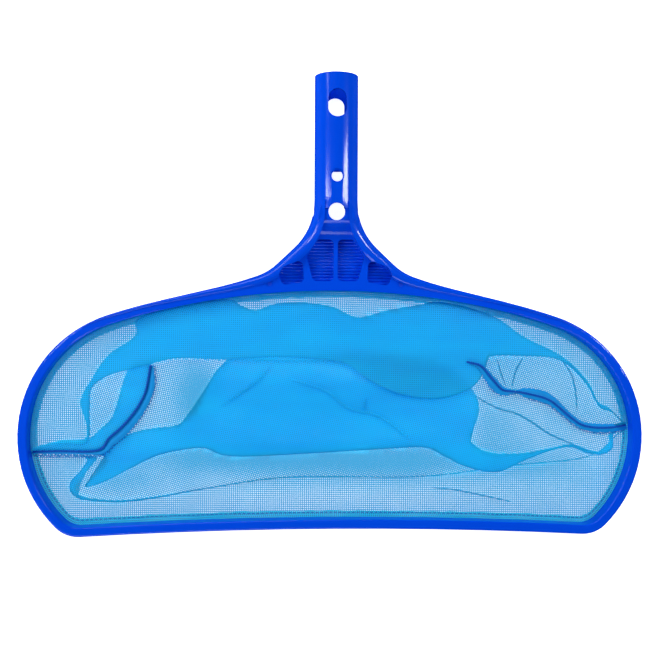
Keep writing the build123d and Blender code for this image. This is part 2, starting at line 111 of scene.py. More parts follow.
# Rows of a stretch: close together beside its folds, then evenly spaced.
COLUMNS = 281
ROWS_BY_FOLD = [0.012, 0.04]
EVEN_FROM = 0.09
ROW_SPACING = 3.0

# Raised single wrinkles: points in millimetres, height above the floor, width.
UPPER_WRINKLES = [
    ([(134, -35), (129, -44), (126, -56)], 5.2, 1.3),
    ([(115, -35), (118, -45), (122, -56)], 5.2, 1.0),
    ([(162, -37), (169, -47), (172, -60), (173, -72)], 5.2, 1.3),
]
LOWER_WRINKLES = [
    ([(97, -60), (108, -67), (119, -72), (129, -74.5), (141, -81), (153, -89), (169, -96),
      (182, -101)], 4.2, 1.5),
    ([(-44, -40), (-52, -50), (-69, -63), (-79, -69)], 4.4, 1.4),
    ([(-30, -51), (-6, -59), (10, -71), (32, -77), (54, -93)], 4.4, 1.6),
    ([(22, -64), (21, -73)], 4.4, 1.0),
    ([(70, -127.5), (86, -129), (110, -134), (126, -137.5)], 2.4, 1.2),
]
WRINKLE_STEP = 2.5
# Across a wrinkle: sideways as a share of its width, and up in millimetres.
WRINKLE_SECTION = [(-0.5, -0.6), (-0.36, 0.25), (0.0, 0.6), (0.36, 0.25), (0.5, -0.6)]


# ---- Lines -------------------------------------------------------------------------------
def walk(start, legs, step):
    """Points along arcs that each leave in the direction in which the last one ended."""
    x, y, heading = start
    points = [(x, y)]
    for radius, sweep in legs:
        count = max(2, int(abs(math.radians(sweep)) * radius / step))
        turn = math.radians(sweep) / count
        chord = 2 * radius * math.sin(abs(turn) / 2)
        for _ in range(count):
            heading += turn / 2
            x += chord * math.cos(heading)
            y += chord * math.sin(heading)
            heading += turn / 2
            points.append((x, y))
    return points, heading


def hoop_half(inset, step=1.5):
    """The hoop from the middle of its bottom bar round to the middle of its top, inset from outside."""
    outside = [(BOTTOM_BAR_R, -BOTTOM_BAR_SWEEP), (CORNER_R, CORNER_SWEEP)]
    drop = min(y for x, y in walk((0, 0, 0), outside, 1)[0])
    start = (0, CAD_LO.y / MM - drop + inset, 0)
    legs = [(BOTTOM_BAR_R + inset, -BOTTOM_BAR_SWEEP), (CORNER_R - inset, CORNER_SWEEP),
            (SIDE_R - inset, SIDE_SWEEP), (SHOULDER_R - inset, SHOULDER_SWEEP)]
    points, heading = walk(start, legs, step)
    remaining = math.pi - heading
    top_r = points[-1][0] / math.sin(remaining)
    top, _ = walk((*points[-1], heading), [(top_r, math.degrees(remaining))], step)
    return points + top[1:]


def mirrored(points):
    return [(-x, y) for x, y in points]


def side_index(points, y):
    """Where the hoop's side passes a height on the way up."""
    for i, (px, py) in enumerate(points):
        if px > SIDE_FROM_X and py > y:
            return i
    return len(points) - 1


def upper_rim(inset):
    half = hoop_half(inset)
    left = mirrored(half[side_index(half, LEFT_SEAM[0][1]):])
    right = half[side_index(half, RIGHT_SEAM[-1][1]):]
    return left + right[-2::-1]


def lower_rim(inset):
    half = hoop_half(inset)
    left = mirrored(half[:side_index(half, LEFT_SEAM[0][1]) + 1])
    right = half[:side_index(half, RIGHT_SEAM[-1][1]) + 1]
    return left[::-1] + right[1:]


def smooth(points, per_span=10):
    """A rounded line through a few points."""
    p = [Vector(q) for q in points]
    p = [2 * p[0] - p[1]] + p + [2 * p[-1] - p[-2]]
    line = []
    for a, b, c, d in zip(p, p[1:], p[2:], p[3:]):
        for i in range(per_span):
            t = i / per_span
            line.append(0.5 * ((2 * b) + (c - a) * t + (2 * a - 5 * b + 4 * c - d) * t * t
                               + (3 * b - a - 3 * c + d) * t ** 3))
    line.append(p[-2])
    return [tuple(v) for v in line]


def resample(points, count):
    """The same line, cut into equal steps."""
    p = [Vector(q) for q in points]
    lengths = [0.0]
    for a, b in zip(p, p[1:]):
        lengths.append(lengths[-1] + (b - a).length)
    out = []
    k = 0
    for i in range(count):
        target = lengths[-1] * i / (count - 1)
        while k < len(p) - 2 and lengths[k + 1] < target:
            k += 1
        span = max(lengths[k + 1] - lengths[k], 1e-9)
        out.append(p[k].lerp(p[k + 1], (target - lengths[k]) / span))
    return out


def line_length(points):
    return sum((Vector(b) - Vector(a)).length for a, b in zip(points, points[1:]))


def normals(points):
    """Flat unit vectors to the left of a line at each of its points."""
    out = []
    for i in range(len(points)):
        a = points[max(i - 1, 0)]
        b = points[min(i + 1, len(points) - 1)]
        t = (Vector(b[:2]) - Vector(a[:2])).normalized()
        out.append(Vector((-t.y, t.x)))
    return out


# ---- Meshes ------------------------------------------------------------------------------
def make_object(name, verts, faces, material, nodes=()):
    """verts are in millimetres; the object rides on the one body and stands for the given CAD nodes."""
    mesh = bpy.data.meshes.new(name)
    mesh.from_pydata([Vector(v) * MM for v in verts], [], faces)
    mesh.polygons.foreach_set("use_smooth", [True] * len(mesh.polygons))
    mesh.materials.append(material)
    mesh.update()
    obj = bpy.data.objects.new(name, mesh)
    bpy.context.scene.collection.objects.link(obj)
    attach(obj, "root")
    if nodes:
        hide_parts(*nodes)
    return obj


def waves(x, y, seed, size):
    return noise.noise(Vector((x / size, y / size, seed)))


def billow(x, y):
    """How much the loose cloth stands above its even height."""
    return BILLOW_HEIGHT * waves(x, y, 0.0, BILLOW_SIZE)


def ease(t):
    """Quarter of a circle: steep at the fold, then level."""
    t = min(max(t, 0.0), 1.0)
    return math.sqrt(max(0.0, 1 - (1 - t) ** 2))


def row_shares(length):
    """Where the rows of a stretch of this length lie, as shares of it."""
    middle = max(2, int(length / ROW_SPACING))
    even = [EVEN_FROM + (1 - 2 * EVEN_FROM) * i / middle for i in range(middle + 1)]
    return [0.0] + ROWS_BY_FOLD + even + [1 - share for share in ROWS_BY_FOLD[::-1]] + [1.0]


class Folded:
    """A sheet that runs back and forth between lines of folds, each stretch at its own height."""

    def __init__(self, columns):
        self.columns = columns
        self.verts = []
        self.faces = []
        self.face_layer = []
        self.rows = 0

    def add_row(self, points, layer):
        """Adds a row of points and joins it to the row before."""
        first = (self.rows - 1) * self.columns
        self.verts += points
        self.rows += 1
        if first < 0:
            return
        for i in range(self.columns - 1):
            j = first + i
            self.faces.append((j, j + 1, j + 1 + self.columns, j + self.columns))
            self.face_layer.append(layer)

    def stretch(self, start, end, z, z_start, z_end, layer, rise_start, rise_end):
        """One stretch between two lines; the height eases in and out within the rise lengths."""
        lengths = [(b - a).length for a, b in zip(start, end)]
        shares = row_shares(sum(lengths) / len(lengths))
        if self.rows:
            shares = shares[1:]
        for share in shares:
            points = []
            for a, b, length in zip(start, end, lengths):
                p = a.lerp(b, share)
                near_start = ease(share * length / min(rise_start, length / 2 + 0.01))
                near_end = ease((1 - share) * length / min(rise_end, length / 2 + 0.01))
                height = z + (z_start - z) * (1 - near_start) + (z_end - z) * (1 - near_end)
                crease = CREASE_HEIGHT * waves(p.x, p.y, 3.0 + layer, CREASE_SIZE)
                height += near_start * near_end * (billow(p.x, p.y) + crease)
                points.append((p.x, p.y, max(height, FLOOR_GAP)))
            self.add_row(points, layer)


def folded_panel(rows, heights, first_z, last_z, first_layer, rim_first):
    """A panel through the given lines; its first or its last stretch starts at the hoop."""
    lines = [resample(row, COLUMNS) for row in rows]
    sheet = Folded(COLUMNS)
    levels = [first_z] + [(a + b) / 2 for a, b in zip(heights, heights[1:])] + [last_z]
    last = len(heights) - 1
    for i, z in enumerate(heights):
        rise_start = RIM_RISE if rim_first and i == 0 else LAYER_GAP
        rise_end = RIM_RISE if not rim_first and i == last else LAYER_GAP
        sheet.stretch(lines[i], lines[i + 1], z, levels[i], levels[i + 1], first_layer + i,
                      rise_start, rise_end)
    return sheet


# The weave of each stretch lies at its own angle, because the cloth is folded over askew.
WEAVE_ANGLES = [2.0, -24.0, 19.0, -38.0, 31.0, -12.0, 27.0, -19.0, 36.0, 0.5]


def add_weave_map(obj, layers):
    """Distances along the threads, in millimetres."""
    mesh = obj.data
    uv = mesh.uv_layers.new(name="threads")
    for poly, layer in zip(mesh.polygons, layers):
        a = math.radians(WEAVE_ANGLES[layer])
        c, s = math.cos(a), math.sin(a)
        for loop in poly.loop_indices:
            v = mesh.vertices[mesh.loops[loop].vertex_index].co / MM
            uv.data[loop].uv = (v.x * c + v.y * s, v.y * c - v.x * s)


GATHER_WAVES = [(0.10, 7.0, 22), (0.06, 9.0, 8)]        # amount, seed and size of each wave
MOST_OPEN = -0.4


def add_gather(obj, spots, base):
    """How closely the threads are bunched: 0 open, 1 closed."""
    mesh = obj.data
    gather = mesh.attributes.new("gather", "FLOAT", "POINT")
    values = []
    for vertex in mesh.vertices:
        x, y, _ = vertex.co / MM
        value = base + sum(height * waves(x, y, seed, size) for height, seed, size in GATHER_WAVES)
        for sx, sy, rx, ry, amount in spots:
            value += amount * math.exp(-((x - sx) / rx) ** 2 - ((y - sy) / ry) ** 2)
        values.append(min(max(value, MOST_OPEN), 1.0))
    gather.data.foreach_set("value", values)


ABOVE_BAG = 50 * MM
PAST_LAYER = 0.01 * MM
# Layers are counted at these places beside a point, in millimetres, and averaged.
AROUND = [(0.1, 0.1), (1.3, 0.2), (-1.3, -0.2), (0.2, 1.3), (-0.2, -1.3)]
BACKED_BY = 2                   # this many layers more than one count as fully backed


def layers_at(tree, x, y):
    """How many layers of mesh lie over each other at a place."""
    count = 0
    start = Vector((x, y, ABOVE_BAG))
    while True:
        hit = tree.ray_cast(start, Vector((0, 0, -1)))[0]
        if hit is None:
            return count
        count += 1
        start = hit - Vector((0, 0, PAST_LAYER))


def add_backing(objects):
    """Light spreads between layers, so each point notes how many layers lie there."""
    points, polygons = [], []
    for obj in objects:
        first = len(points)
        points += [v.co.copy() for v in obj.data.vertices]
        polygons += [[first + i for i in p.vertices] for p in obj.data.polygons]
    tree = BVHTree.FromPolygons(points, polygons)
    for obj in objects:
        backing = obj.data.attributes.new("backing", "FLOAT", "POINT")
        values = []
        for v in obj.data.vertices:
            layers = [max(1, layers_at(tree, v.co.x + dx * MM, v.co.y + dy * MM)) for dx, dy in AROUND]
            values.append(min(1.0, (sum(layers) / len(AROUND) - 1) / BACKED_BY))
        backing.data.foreach_set("value", values)


def add_wrinkles(sheet, wrinkles, layer):
    """Narrow arched folds that stand on the sheet."""
    wide = len(WRINKLE_SECTION)
    for points, z, width in wrinkles:
        line = resample(smooth(points), max(6, int(line_length(points) / WRINKLE_STEP)))
        first = len(sheet.verts)
        for i, (p, n) in enumerate(zip(line, normals(line))):
            taper = math.sin(math.pi * (0.08 + 0.84 * i / (len(line) - 1)))
            for offset, lift in WRINKLE_SECTION:
                q = Vector(p[:2]) + n * offset * width * (0.35 + 0.65 * taper)
                sheet.verts.append((q.x, q.y, z + lift * taper + billow(q.x, q.y)))
        for i in range(len(line) - 1):
            for k in range(wide - 1):
                j = first + i * wide + k
                sheet.faces.append((j, j + 1, j + 1 + wide, j + wide))
                sheet.face_layer.append(layer)


# ---- Materials ---------------------------------------------------------------------------
class Nodes:
    """Short names for building a material's nodes."""

    def __init__(self, name):
        self.material = bpy.data.materials.new(name)
        self.material.use_nodes = True
        self.tree = self.material.node_tree
        self.tree.nodes.clear()

    def add(self, kind, inputs=None, **settings):
        node = self.tree.nodes.new(kind)
        for key, value in settings.items():
            setattr(node, key, value)
        for key, value in (inputs or {}).items():
            socket = node.inputs[key]
            if isinstance(value, bpy.types.NodeSocket):
                self.tree.links.new(value, socket)
            else:
                socket.default_value = value
        return node

    def math(self, operation, a, b=0.0, c=0.0):
        return self.add("ShaderNodeMath", {0: a, 1: b, 2: c}, operation=operation).outputs[0]

    def finish(self, shader):
        self.add("ShaderNodeOutputMaterial", {"Surface": shader})
        return self.material


def mix_colour(n, factor, first, second):
    ends = {"Factor": factor}
    for end, colour in (("A", first), ("B", second)):
        ends[end] = (*colour, 1) if isinstance(colour, tuple) else colour
    return n.add("ShaderNodeMix", ends, data_type="RGBA").outputs["Result"]


def plastic(name, base, deep, roughness, grain):
    """Moulded plastic: slightly uneven colour, fine grain and faint flow marks."""
    n = Nodes(name)
    where = n.add("ShaderNodeTexCoord").outputs["Object"]
    flow = n.add("ShaderNodeTexNoise", {"Vector": where, "Scale": 18.0, "Detail": 3.0}).outputs["Fac"]
    fine = n.add("ShaderNodeTexNoise", {"Vector": where, "Scale": 900.0, "Detail": 2.0}).outputs["Fac"]
    drawn_out = n.add("ShaderNodeMapping", {"Vector": where, "Scale": (40.0, 900.0, 300.0)}).outputs[0]
    scratch = n.add("ShaderNodeTexNoise", {"Vector": drawn_out, "Scale": 1.0, "Detail": 2.0}).outputs["Fac"]
    colour = mix_colour(n, flow, deep, base)
    rough = n.math("MULTIPLY_ADD", flow, 0.06, roughness - 0.03)
    rough = n.math("MULTIPLY_ADD", scratch, 0.04, rough)
    height = n.math("MULTIPLY_ADD", scratch, 0.4, fine)
    bump = n.add("ShaderNodeBump", {"Height": height, "Strength": grain, "Distance": 0.0002}).outputs[0]
    shader = n.add("ShaderNodeBsdfPrincipled", {"Base Color": colour, "Roughness": rough, "IOR": 1.49,
                                               "Specular IOR Level": 0.4, "Normal": bump})
    return n.finish(shader.outputs[0])


# The bag's mesh: pitch in millimetres, and a thread's width as a share of it.
THREAD_PITCH = 1.35
OPEN_WIDTH = 0.54
CLOSED_WIDTH = 0.95
FUZZ_COVER = 0.42               # fine fibres across each hole
THREAD_COVER = 0.94


def thread_mask(n, along, width):
    """1 on a thread and 0 in the hole beside it, and how far from the thread's middle."""
    pitches = n.math("DIVIDE", along, THREAD_PITCH)
    from_middle = n.math("MULTIPLY", n.math("PINGPONG", pitches, 0.5), 2.0)
    return n.math("LESS_THAN", from_middle, width), from_middle


def crossed_threads(n, threads, width_scale):
    """Where threads cover the hole behind, and how far down their round sides."""
    place = n.add("ShaderNodeSeparateXYZ", {0: threads})
    gather = n.add("ShaderNodeAttribute", attribute_name="gather").outputs["Fac"]
    growth = (CLOSED_WIDTH - OPEN_WIDTH) * width_scale
    width = n.math("MULTIPLY_ADD", gather, growth, OPEN_WIDTH * width_scale)
    across, across_middle = thread_mask(n, place.outputs["X"], width)
    along, along_middle = thread_mask(n, place.outputs["Y"], width)
    nearest = n.math("MINIMUM", across_middle, along_middle)
    roundness = n.math("MINIMUM", n.math("DIVIDE", nearest, width), 1.0)
    return n.math("MAXIMUM", across, along), roundness


def layered_colour(n, threads, roundness, single, backed_painted_light):
    """One colour where a single layer lies, and a brighter one with soft streaks where more do; the
    brightening is painted light for light spreading between the layers, and both are painted darker down
    the threads' round sides as shade.
    """
    patchy = n.add("ShaderNodeTexNoise", {"Vector": threads, "Scale": 0.05, "Detail": 3.0}).outputs["Fac"]
    # Painted shade: each thread takes the darker colour down its round sides, mixed with random patches.
    rounded = n.math("POWER", roundness, 2.0)
    round_side_shade_and_patches = n.math("MULTIPLY_ADD", rounded, 0.5, n.math("MULTIPLY", patchy, 0.3))
    where = n.add("ShaderNodeTexCoord").outputs["Object"]
    streaks = n.add("ShaderNodeMapping", {"Vector": where, "Scale": (14.0, 60.0, 1.0)}).outputs[0]
    soft = n.add("ShaderNodeTexNoise", {"Vector": streaks, "Scale": 1.0, "Detail": 2.5}).outputs["Fac"]
    deepen = n.math("MULTIPLY_ADD", soft, 1.6, -0.4)
    streaked = n.math("MULTIPLY", n.math("ADD", round_side_shade_and_patches, deepen), 0.62)
    # Painted light: where more layers lie beneath, the brighter backed colours stand in for light spreading
    # between the layers.
    backing = n.add("ShaderNodeAttribute", attribute_name="backing").outputs["Fac"]
    return mix_colour(n, backing, mix_colour(n, round_side_shade_and_patches, *single), mix_colour(n, streaked, *backed_painted_light))


def mesh_cloth(name, single, backed_painted_light, width_scale):
    """Open mesh of round threads; the holes are really see-through."""
    n = Nodes(name)
    threads = n.add("ShaderNodeUVMap", uv_map="threads").outputs[0]
    covered, roundness = crossed_threads(n, threads, width_scale)
    colour = layered_colour(n, threads, roundness, single, backed_painted_light)
    height = n.math("SUBTRACT", 1.0, roundness)
    bump = n.add("ShaderNodeBump", {"Height": height, "Strength": 0.35, "Distance": 0.0003}).outputs[0]
    front = n.add("ShaderNodeBsdfPrincipled", {"Base Color": colour, "Roughness": 0.5, "IOR": 1.5,
                                              "Sheen Weight": 0.04, "Normal": bump}).outputs[0]
    through = n.add("ShaderNodeBsdfTranslucent", {"Color": colour}).outputs[0]
    solid = n.add("ShaderNodeMixShader", {0: 0.5, 1: front, 2: through}).outputs[0]
    clear = n.add("ShaderNodeBsdfTransparent").outputs[0]
    cover = n.math("MULTIPLY_ADD", covered, THREAD_COVER - FUZZ_COVER, FUZZ_COVER)
    return n.finish(n.add("ShaderNodeMixShader", {0: cover, 1: clear, 2: solid}).outputs[0])


# ---- The bag -----------------------------------------------------------------------------
NET_UNDER_BAR = 0.6             # the net starts this far under the hoop's bar
RIM_INSET = BAR_WIDTH - NET_UNDER_BAR
PLEAT_ABOVE = 0.8               # each turn of a pleat lies this far beside the seam
# Where the threads are bunched or spread: x, y, reach in x and in y, amount.
UPPER_SPOTS = [(-55, -20, 110, 14, 0.35), (80, -30, 60, 22, 0.5), (-60, -55, 20, 12, -0.2)]
LOWER_SPOTS = [(-10, -65, 70, 14, 0.45), (-60, -106, 70, 9, 0.9), (40, -108, 70, 12, 0.85),
               (0, -134, 150, 11, -0.3), (-128, -60, 18, 20, -0.2), (-96, -62, 14, 26, 0.9),
               (-150, -122, 22, 9, 0.45), (110, -92, 18, 14, 0.6), (140, -112, 26, 9, 0.35),
               (-52, -40, 40, 9, -0.35), (8, -46, 22, 9, -0.45), (104, -92, 22, 8, -0.35),
               (0, -93, 60, 5, -0.3)]


def seam_line():
    return smooth(LEFT_SEAM + BAG_BOTTOM + RIGHT_SEAM)


def seam_pleat_line(beside):
    """Follows the pleat beside the left seam, and past it lies just above the bag's folded bottom."""
    rest = [(x, y + beside) for x, y in BAG_BOTTOM + RIGHT_SEAM]
    return smooth(SEAM_PLEAT + rest)


def upper_panel(material):
    lines = [upper_rim(RIM_INSET), smooth(DEEP_FOLD), smooth(SHALLOW_FOLD),
             smooth([(x, y + PLEAT_ABOVE) for x, y in LEFT_SEAM + BAG_BOTTOM + RIGHT_SEAM]),
             seam_pleat_line(2 * PLEAT_ABOVE), seam_line()]
    sheet = folded_panel(lines, UPPER_HEIGHTS, HEM_Z, SEAM_Z, 0, True)
    add_wrinkles(sheet, UPPER_WRINKLES, 1)
    obj = make_object("upper_panel_mesh", sheet.verts, sheet.faces, material,
                      ["net_upper_panel"])
    add_weave_map(obj, sheet.face_layer)
    add_gather(obj, UPPER_SPOTS, 0.05)
    return obj


def lower_panel(material):
    lines = [seam_line(), smooth(LOW_FOLD), smooth(HIGH_FOLD), smooth(CORNER_FOLD),
             smooth(CORNER_FOLD_BACK), lower_rim(RIM_INSET)]
    sheet = folded_panel(lines, LOWER_HEIGHTS, SEAM_Z, HEM_Z, 5, False)
    add_wrinkles(sheet, LOWER_WRINKLES, 6)
    obj = make_object("lower_panel_mesh", sheet.verts, sheet.faces, material,
                      ["net_lower_panel"])
    add_weave_map(obj, sheet.face_layer)
    add_gather(obj, LOWER_SPOTS, 0.0)
    return obj


# ---- Hem ---------------------------------------------------------------------------------
# Section of the folded hem: how far out from the hoop's inner edge, and height.
HEM_SECTION = [(1.0, 2.75), (-0.6, 2.75), (-2.2, 2.8), (-3.6, 2.75), (-4.1, 2.6), (-4.2, 2.4),
               (-4.0, 2.2), (-3.4, 2.1), (-2.0, 2.05), (0.4, 2.1)]
HEM_FOLD_AT = 5                 # the section's point on the hem's folded edge
HEM_COLUMNS = 560
HEM_LOOSE_FROM = 4.0            # this far inside the hoop the hem ripples fully
HEM_RIPPLE, HEM_LIFT = 0.5, 0.45


def full_loop(inset, step=2.0):
    half = hoop_half(inset, step)
    return half + mirrored(half)[-2:0:-1]


def hem_wave(x, y):
    """How the hem rises and falls round the mouth."""
    return waves(x, y, 5.0, 9.0)


def hem_rings():
    """The lines of the hem's section, all round the mouth."""
    rings = []
    for out, _ in HEM_SECTION:
        loop = full_loop(BAR_WIDTH - out)
        rings.append(resample(loop + loop[:1], HEM_COLUMNS + 1)[:-1])
    return rings


def hem_verts(rings):
    side = normals(rings[0])
    verts = []
    for ring, (out, z) in zip(rings, HEM_SECTION):
        free = min(1.0, max(0.0, -out) / HEM_LOOSE_FROM)
        for p, n in zip(ring, side):
            ripple = waves(p.x, p.y, 4.0, 7.0) * HEM_RIPPLE * free
            lift = hem_wave(p.x, p.y) * HEM_LIFT * free
            q = Vector(p[:2]) + n * ripple
            verts.append((q.x, q.y, z + lift))
    return verts


def hem_faces():
    faces = []
    for first in range(0, (len(HEM_SECTION) - 1) * HEM_COLUMNS, HEM_COLUMNS):
        for i in range(HEM_COLUMNS):
            j = (i + 1) % HEM_COLUMNS
            faces.append((first + i, first + j, first + HEM_COLUMNS + j, first + HEM_COLUMNS + i))
    return faces


def add_hem_weave_map(mesh, step):
    """The threads run along and across the hem; step is the length of a face along it."""
    uv = mesh.uv_layers.new(name="threads")
    across = [0.0]
    for (a, b), (c, d) in zip(HEM_SECTION, HEM_SECTION[1:]):
        across.append(across[-1] + math.hypot(c - a, d - b))
    for poly in mesh.polygons:
        row, column = divmod(poly.index, HEM_COLUMNS)
        corners = [(column, row), (column + 1, row), (column + 1, row + 1), (column, row + 1)]
        for loop, (i, k) in zip(poly.loop_indices, corners):
            uv.data[loop].uv = (i * step, across[k] + 0.4 * waves(i * 0.1, k, 2.0, 1.0))


def add_hem_gather(mesh):
    """The threads are bunched along the folded edge and open beside it."""
    gather = mesh.attributes.new("gather", "FLOAT", "POINT")
    at_fold, beside = 0.75, -0.3
    rows = [at_fold if abs(k - HEM_FOLD_AT) <= 1 else beside for k in range(len(HEM_SECTION))]
    gather.data.foreach_set("value", [value for value in rows for _ in range(HEM_COLUMNS)])


def hem(material):
    """Doubled mesh, folded inwards and stitched round the mouth."""
    rings = hem_rings()
    obj = make_object("hem_mesh", hem_verts(rings), hem_faces(), material, ["net_hem"])
    fold = rings[HEM_FOLD_AT]
    add_hem_weave_map(obj.data, line_length([*fold, fold[0]]) / HEM_COLUMNS)
    add_hem_gather(obj.data)
    obj.data.attributes.new("backing", "FLOAT", "POINT")
    return obj


# ---- Tubes, ribbons and stitches ---------------------------------------------------------
STRAND_SHARE = 0.56             # a strand's radius as a share of the cord's
# Across the tape: sideways as a share of half its width, up as a share of its thickness.
TAPE_SECTION = [(-1, 0), (-0.96, 0.5), (-0.3, 0.62), (0.3, 0.62), (0.96, 0.5), (1, 0),
                (0.96, -0.5), (-0.96, -0.5)]
TAPE_THICKNESS = 0.5
TAPE_MAP_WIDTH = 1.1            # width of cloth on each of the section's faces
CORD_R, CORD_PITCH, CORD_LIFT = 0.85, 3.4, 0.75
SEAM_STEP = 0.55                # length of one step along a seam
OVERLOCK_PITCH = 2.2
OVERLOCK_R = 0.32
THREAD_SIDES = 5
HEM_STITCH_INSIDE = 3.1
HEM_STITCH_PITCH, HEM_STITCH_LENGTH, HEM_STITCH_STEP = 3.2, 2.3, 0.4
HEM_STITCH_Z, HEM_STITCH_ARCH, HEM_STITCH_R = 2.72, 0.28, 0.34
HEM_STITCH_LIFT = 0.35


def frames_along(points):
    """Tangent, sideways and upward directions at each point of a line."""
    out = []
    for i, p in enumerate(points):
        a = points[max(i - 1, 0)]
        b = points[min(i + 1, len(points) - 1)]
        t = (b - a).normalized()
        side = Vector((-t.y, t.x, 0))
        side = side.normalized() if side.length > 1e-6 else Vector((1, 0, 0))
        out.append((t, side, t.cross(side) * -1))
    return out


def add_tube(verts, faces, points, radius, sides=6):
    """A closed tube along a line, drawn in at both ends."""
    first = len(verts)
    last = len(points) - 1
    for i, (p, (_, side, up)) in enumerate(zip(points, frames_along(points))):
        r = radius * (0.35 if i in (0, last) else 1.0)
        for k in range(sides):
            a = 2 * math.pi * k / sides
            verts.append(p + side * r * math.cos(a) + up * r * math.sin(a))
    for i in range(last):
        for k in range(sides):
            j = first + i * sides
            m = (k + 1) % sides
            faces.append((j + k, j + m, j + sides + m, j + sides + k))
    faces.append(tuple(first + k for k in range(sides))[::-1])
    faces.append(tuple(first + last * sides + k for k in range(sides)))


def lifted(points, height):
    """Puts a flat line at a height, which may change along it."""
    last = len(points) - 1
    return [Vector((p[0], p[1], height(i / last) + billow(p[0], p[1])))
            for i, p in enumerate(points)]


def twisted_cord(name, points, radius, pitch, material, node):
    """Two strands wound round each other."""
    verts, faces = [], []
    around = frames_along(points)
    for strand in (0, 1):
        path = []
        run = 0.0
        for i, (p, (_, side, up)) in enumerate(zip(points, around)):
            if i:
                run += (p - points[i - 1]).length
            a = math.pi * strand + 2 * math.pi * run / pitch
            path.append(p + (side * math.cos(a) + up * math.sin(a)) * radius * 0.5)
        add_tube(verts, faces, path, radius * STRAND_SHARE)
    return make_object(name, verts, faces, material, [node])


def add_tape_map(obj, step):
    """Distances along and across the tape, without its two end faces."""
    wide = len(TAPE_SECTION)
    uv = obj.data.uv_layers.new(name="threads")
    for poly in obj.data.polygons[:-2]:
        row, k = divmod(poly.index, wide)
        corners = [(row, k), (row, k + 1), (row + 1, k + 1), (row + 1, k)]
        for loop, (i, c) in zip(poly.loop_indices, corners):
            uv.data[loop].uv = (i * step, c * TAPE_MAP_WIDTH)


def ribbon(name, points, width, tilt, offset, material, node):
    """A flat tape; width, tilt and sideways offset change along it."""
    verts, faces = [], []
    wide = len(TAPE_SECTION)
    last = len(points) - 1
    for i, (p, (_, side, up)) in enumerate(zip(points, frames_along(points))):
        share = i / last
        a = math.radians(tilt(share))
        flat = side * math.cos(a) + up * math.sin(a)
        above = up * math.cos(a) - side * math.sin(a)
        middle = p + side * offset(share)
        ruffle = 1 + 0.10 * waves(i * 0.5, 1.0, 6.0, 1.6)
        for u, v in TAPE_SECTION:
            verts.append(middle + flat * u * width(share) * 0.5 * ruffle + above * v * TAPE_THICKNESS)
    for i in range(last):
        for k in range(wide):
            j = i * wide
            m = (k + 1) % wide
            faces.append((j + k, j + m, j + wide + m, j + wide + k))
    faces.append(tuple(range(wide))[::-1])
    faces.append(tuple(last * wide + k for k in range(wide)))
    obj = make_object(name, verts, faces, material, [node])
    add_tape_map(obj, line_length(points) / last)
    return obj


def between(stops):
    """A value that runs evenly through (share, value) stops."""
    def value(share):
        for (a, p), (b, q) in zip(stops, stops[1:]):
            if share <= b:
                return p + (q - p) * (share - a) / (b - a)
        return stops[-1][1]
    return value


def overlock(name, points, reach, pitch, material, node):
    """Looped edge stitches: each dips past the tape's edge and comes back."""
    verts, faces = [], []
    around = frames_along(points)
    step = line_length(points) / (len(points) - 1)
    per_loop = max(2, round(pitch / step))
    for i in range(0, len(points) - per_loop, per_loop):
        path = []
        for k in range(per_loop + 1):
            p = points[i + k]
            _, side, up = around[i + k]
            dip = math.sin(math.pi * k / per_loop)
            sideways = reach(i / len(points)) * (0.35 + 0.65 * dip)
            path.append(p + side * sideways + up * (0.5 + 0.3 * dip))
        add_tube(verts, faces, path, OVERLOCK_R, THREAD_SIDES)
    return make_object(name, verts, faces, material, [node])


def hem_stitch_row(material):
    """Running stitches just inside the hem's folded edge."""
    loop = full_loop(BAR_WIDTH + HEM_STITCH_INSIDE)
    steps = int(line_length(loop + loop[:1]) / HEM_STITCH_STEP)
    line = resample(loop + loop[:1], steps)
    per = round(HEM_STITCH_PITCH / HEM_STITCH_STEP)
    used = round(HEM_STITCH_LENGTH / HEM_STITCH_STEP)
    verts, faces = [], []
    for i in range(0, steps - per, per):
        path = []
        for k in range(used + 1):
            p = line[i + k]
            arch = HEM_STITCH_ARCH * math.sin(math.pi * k / used)
            lift = hem_wave(p.x, p.y) * HEM_STITCH_LIFT
            path.append(Vector((p.x, p.y, HEM_STITCH_Z + lift + arch)))
        add_tube(verts, faces, path, HEM_STITCH_R, THREAD_SIDES)
    return make_object("hem_stitching", verts, faces, material, ["hem_stitches"])


def seam_pieces(side, line, height, width, tilt, offset, reach, cord_offset, tape_material,
                cord_material, thread_material):
    """The tape, the piping cord and the edge stitches of one side seam."""
    path = lifted(resample(line, int(line_length(line) / SEAM_STEP)), height)
    last = len(path) - 1
    cord_path = [p + s * cord_offset(i / last) + Vector((0, 0, CORD_LIFT))
                 for i, (p, (_, s, _)) in enumerate(zip(path, frames_along(path)))]
    tape = ribbon(side + "_seam_tape", path, width, tilt, offset, tape_material,
                  side + "_seam_binding")
    cord = twisted_cord(side + "_seam_piping", cord_path, CORD_R, CORD_PITCH, cord_material,
                        side + "_seam_cord")
    stitches = overlock(side + "_seam_overlock", path, reach, OVERLOCK_PITCH, thread_material,
                        side + "_seam_stitches")
    return [tape, cord, stitches]


def left_seam(materials):
    return seam_pieces(
        "left", smooth(LEFT_SEAM),
        height=between([(0, 3.2), (0.1, 5.2), (1, 6.0)]),
        width=between([(0, 3.0), (0.35, 4.0), (0.5, 6.4), (0.9, 5.4), (1, 1.8)]),
        tilt=between([(0, 40), (0.35, 40), (0.5, 6), (1, 12)]),
        offset=between([(0, 0.2), (0.35, -0.2), (0.5, -2.6), (0.9, -2.2), (1, -0.8)]),
        reach=between([(0, -3.2), (0.1, -4.4), (0.35, -4.2), (0.5, -6.9), (0.9, -5.9), (1, -2.4)]),
        cord_offset=between([(0, 0.3), (1, 0.3)]),
        **materials)


